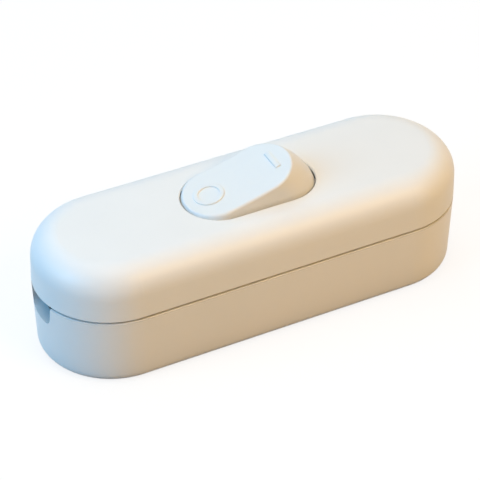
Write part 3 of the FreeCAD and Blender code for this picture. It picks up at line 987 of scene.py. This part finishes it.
@dataclass
class PlungerSprings:
    """The two coil springs in the rocker, with closed ends, that press the plungers down."""

    y: float = 3.2 * MM
    foot: float = -0.8 * MM
    rise: float = 5.85 * MM
    coil_radius: float = 0.9 * MM
    wire_radius: float = 0.2 * MM
    closed_pitch: float = 0.42 * MM
    open_turns: int = 3
    coil_steps: int = 32
    wire_sides: int = 12

    def coil(self, turns: int, pitch: float, start: float) -> bpy.types.Object:
        """Some whole turns of the wire.

        Args:
            turns: Number of turns.
            pitch: Rise of each turn.
            start: Height of the first.

        Returns:
            An open tube round Z.
        """
        coil = Bench.new(
            "spring_coil",
            bpy.ops.mesh.primitive_circle_add,
            vertices=self.wire_sides,
            radius=self.wire_radius,
            location=(self.coil_radius, 0, start),
            rotation=(math.pi / 2, 0, 0),
        )
        Bench.wind(coil, turns, pitch, self.coil_steps)
        return coil

    def model(self) -> bpy.types.Object:
        """One spring: a closed turn, the open turns and a closed turn.

        Returns:
            The spring, standing on the origin.
        """
        low = self.closed_pitch
        high = self.rise - self.closed_pitch
        parts = [
            self.coil(1, self.closed_pitch, 0),
            self.coil(self.open_turns, (high - low) / self.open_turns, low),
            self.coil(1, self.closed_pitch, high),
        ]
        Bench.take(parts[0])
        for part in parts:
            part.select_set(True)
        bpy.ops.object.join()
        spring = bpy.context.object
        with Bench.editing(spring):
            bpy.ops.mesh.remove_doubles(threshold=WELD_SHARE * self.wire_radius)
            bpy.ops.mesh.fill_holes(sides=0)
            Bench.turn_outwards()
        return spring

    def build(self, rocker: RockerKey, finishes: Finishes) -> None:
        """Make the springs in place of the plain ones.

        Args:
            rocker: The rocker that holds them.
            finishes: The switch's finishes.
        """
        places = {}
        for pole in Pole:
            foot = Matrix.Translation((0, pole.value * self.y, self.foot))
            places[f"{pole.tag}_spring_coil"] = rocker.resting() @ foot
        springs = Bench.repeat(self.model(), places, "rocker")
        length = self.rise + 2 * self.wire_radius
        for pole, spring, place in zip(Pole, springs, places.values()):
            finishes.dress(spring, "spring_steel")
            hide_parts(f"{pole.tag}_plunger_spring")
            slide = packed_joint(f"{pole.tag}_plunger_slide")
            1 - slide["range_m"][1] / length
            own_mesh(spring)


@dataclass(frozen=True)
class SoftLamp:
    """A square soft box that points at the switch."""

    name: str
    place: Place
    size: float
    power: float
    colour: Colour

    def build(self, aim: Vector) -> None:
        """Hang the lamp.

        Args:
            aim: Point that it is turned to.
        """
        data = bpy.data.lights.new(self.name, "AREA")
        data.shape = "SQUARE"
        data.size = self.size
        data.energy = self.power
        data.color = self.colour
        lamp = bpy.data.objects.new(self.name, data)
        lamp.location = self.place
        lamp.rotation_euler = (aim - lamp.location).to_track_quat("-Z", "Y").to_euler()
        bpy.context.scene.collection.objects.link(lamp)


@dataclass
class Studio:
    """Pale floor, soft lamps, white surroundings and the camera at the photograph's place."""

    floor_size: float = 6.0
    floor_drop: float = 0.02 * MM
    floor_colour: Colour = (0.62, 0.5, 0.37)
    floor_glow: float = 1.04
    shadow_share: float = 0.2
    # painted shade: dark floor colour near the switch, seen only by bounced light
    contact_colour: Colour = (0.04, 0.03, 0.02)
    contact_reach: float = 4 * MM
    half_spine: float = 24 * MM
    half_width: float = 12.5 * MM
    sky_colour: Colour = (0.8, 0.9, 1.0)
    sky_strength: float = 0.1
    azimuth: float = -26.74
    elevation: float = 38.35
    distance: float = 315.2 * MM
    aim: Place = (-1.18 * MM, 0.47 * MM, 10.23 * MM)
    focal_length: float = 146.42
    clip_share: float = 0.1

    def seen(self, graph: NodeGraph) -> Signal:
        """One for rays that show the surroundings, straight or in gloss or glass, and zero for light.

        Args:
            graph: The tree that the test is made in.

        Returns:
            The test's value.
        """
        path = graph.node("ShaderNodeLightPath")
        straight = graph.output(path, "Is Camera Ray")
        gloss = graph.output(path, "Is Glossy Ray")
        return straight + gloss + graph.output(path, "Is Transmission Ray")

    def contact(self, graph: NodeGraph) -> Signal:
        """Share of painted shade in the floor's colour round the switch, seen only by bounced light, which darkens
        the switch's lower edge.

        Args:
            graph: The tree that it is made in.

        Returns:
            One under the switch, and less with the distance from its edge.
        """
        place = graph.place()
        across = graph.along(place, "Y")
        beyond = graph.math("ABSOLUTE", graph.along(place, "X")) - self.half_spine
        along = graph.math("MAXIMUM", beyond, 0.0)
        distance = graph.math("SQRT", along * along + across * across)
        return graph.fade(distance, self.half_width, self.half_width + self.contact_reach)

    def floor(self) -> None:
        """Floor that shows white with the switch's shadow, reflects warm light on it, and has painted shade near
        the switch that darkens the switch's lower edge.
        """
        sunk = (0.0, 0.0, -self.floor_drop)
        floor = Bench.new("floor", bpy.ops.mesh.primitive_plane_add, size=self.floor_size, location=sunk)
        material = bpy.data.materials.new("pale_floor")
        graph = NodeGraph(material)
        open_floor = graph.shader("ShaderNodeBsdfDiffuse", self.floor_colour)
        # painted shade: dark floor round the switch, which only bounced light sees
        shaded_bounce = graph.shader("ShaderNodeBsdfDiffuse", self.contact_colour)
        warm = graph.mixed(self.contact(graph), open_floor, shaded_bounce)
        bright = graph.shader("ShaderNodeEmission", WHITE, Strength=self.floor_glow)
        pale = graph.mixed(self.shadow_share, bright, graph.shader("ShaderNodeBsdfDiffuse", WHITE))
        graph.finish(graph.mixed(self.seen(graph), warm, pale))
        floor.data.materials.append(material)

    def surroundings(self) -> None:
        """World that shows white and lights the switch with a weak cool sky."""
        world = bpy.data.worlds.new("white_room")
        graph = NodeGraph(world)
        sky = graph.shader("ShaderNodeBackground", self.sky_colour, Strength=self.sky_strength)
        white = graph.shader("ShaderNodeBackground", WHITE)
        graph.finish(graph.mixed(self.seen(graph), sky, white), "ShaderNodeOutputWorld")
        bpy.context.scene.world = world

    def lamps(self) -> None:
        """A ceiling, cool daylight from behind and from the left, and a warm fill in front."""
        lamps = [
            SoftLamp("ceiling", (-0.01, 0.0, 0.5), size=0.4, power=1.08, colour=(1.0, 0.88, 0.75)),
            SoftLamp("skylight", (0.0, 0.35, 0.4), size=0.35, power=0.72, colour=(0.45, 0.77, 1.0)),
            SoftLamp("window", (-0.44, 0.0, 0.27), size=0.3, power=1.82, colour=(0.18, 0.58, 1.0)),
            SoftLamp("warm_front", (0.18, -0.33, 0.36), size=0.25, power=1.36, colour=(1.0, 0.6, 0.17)),
        ]
        for lamp in lamps:
            lamp.build(Vector(self.aim))

    def camera(self) -> None:
        """Camera at the photograph's viewing angle."""
        data = bpy.data.cameras.new("camera")
        data.lens = self.focal_length
        data.clip_start = self.distance * self.clip_share
        camera = bpy.data.objects.new("camera", data)
        around = math.radians(self.azimuth)
        above = math.radians(self.elevation)
        level = math.cos(above)
        back = Vector((math.sin(around) * level, -math.cos(around) * level, math.sin(above)))
        camera.location = Vector(self.aim) + back * self.distance
        camera.rotation_euler = (-back).to_track_quat("-Z", "Y").to_euler()
        bpy.context.scene.collection.objects.link(camera)
        bpy.context.scene.camera = camera

    def build(self) -> None:
        """Set the studio up."""
        bpy.context.scene.view_settings.view_transform = "Standard"
        self.floor()
        self.surroundings()
        self.lamps()
        self.camera()


def main() -> None:
    """Dress the switch, make its small pieces and set the studio up."""
    logging.basicConfig(level=logging.INFO, format="%(message)s")
    finishes = Finishes()
    finishes.dress_nodes()
    Fasteners().build(finishes)
    rocker = RockerKey()
    rocker.build(finishes)
    PlungerSprings().build(rocker, finishes)
    Studio().build()


if __name__ == "__main__":
    main()
